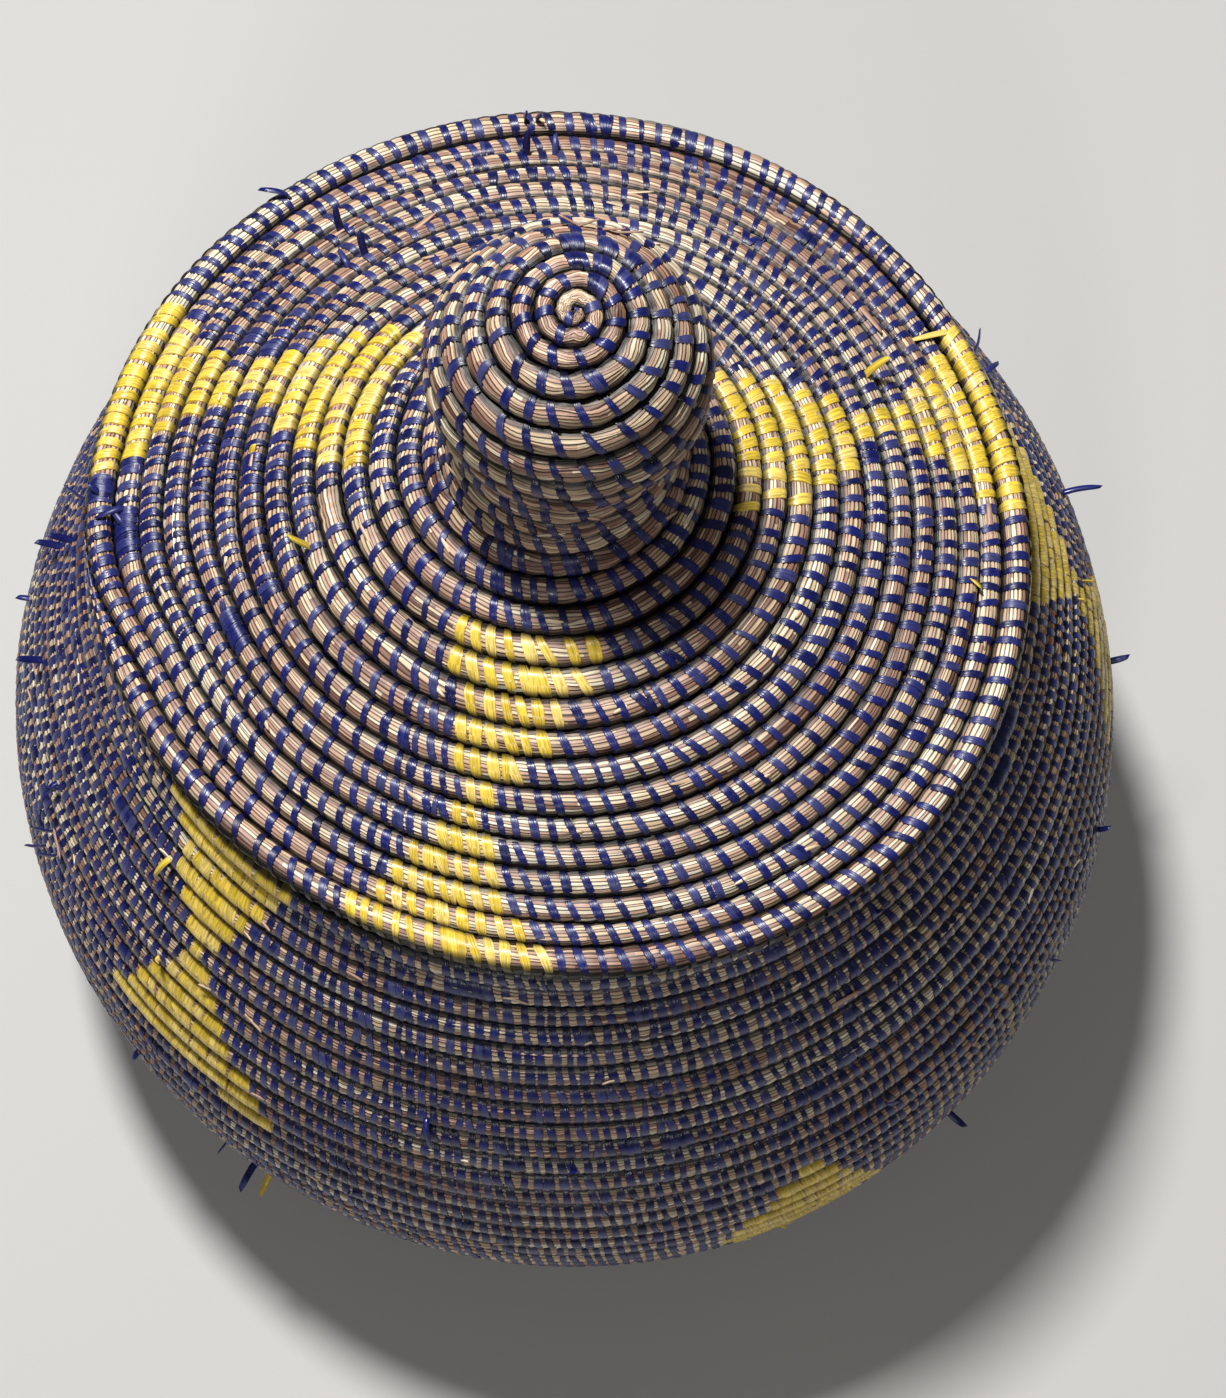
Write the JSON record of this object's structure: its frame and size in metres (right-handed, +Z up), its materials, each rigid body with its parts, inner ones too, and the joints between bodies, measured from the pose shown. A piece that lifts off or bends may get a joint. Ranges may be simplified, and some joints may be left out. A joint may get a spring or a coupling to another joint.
{
  "type": "coiled grass storage basket with lid",
  "caption": "Round coiled grass basket with a bulging body, a shallow cone lid that lifts off, a ball knob on a flared neck and loose plastic strip ends.",
  "frame": {"origin": "on the floor under the middle of the base, which is the centre of the flat face the basket rests on", "axes": "+Z up along the axis that the coil is wound about, -Y towards the side in the picture"},
  "size_m": [0.3872, 0.375, 0.4139],
  "materials": {
    "grass_coil": "dry grass bundle bound with strip",
    "blue_strip": "glossy flat strip",
    "yellow_strip": "glossy flat strip"
  },
  "bodies": {
    "basket": {"base_disc": "grass_coil", "heel": "grass_coil", "lower_belly": "grass_coil", "upper_belly": "grass_coil", "shoulder": "grass_coil", "mouth_coil": "grass_coil", "wall_blue_end_right": "blue_strip", "wall_blue_end_left_upper": "blue_strip", "wall_blue_end_left_middle": "blue_strip", "wall_blue_end_left_lower": "blue_strip", "wall_blue_end_front_left": "blue_strip", "wall_blue_end_front_right": "blue_strip", "wall_yellow_end_left": "yellow_strip", "wall_yellow_end_front": "yellow_strip"},
    "lid": {"rim_coil": "grass_coil", "brim_coil": "grass_coil", "lower_cone": "grass_coil", "upper_cone": "grass_coil", "locating_ring": "grass_coil", "neck": "grass_coil", "knob_lower": "grass_coil", "knob_upper": "grass_coil", "knob_crown": "grass_coil", "lid_blue_end_back": "blue_strip", "lid_blue_end_back_left": "blue_strip", "lid_blue_end_inner_left": "blue_strip", "lid_yellow_end_right": "yellow_strip", "lid_yellow_end_left": "yellow_strip"}
  },
  "joints": [
    {"name": "lid_lift", "type": "slide", "parent": "basket", "child": "lid", "axis": [0, 0, 1], "range_m": [0, 0.25]}
  ]
}
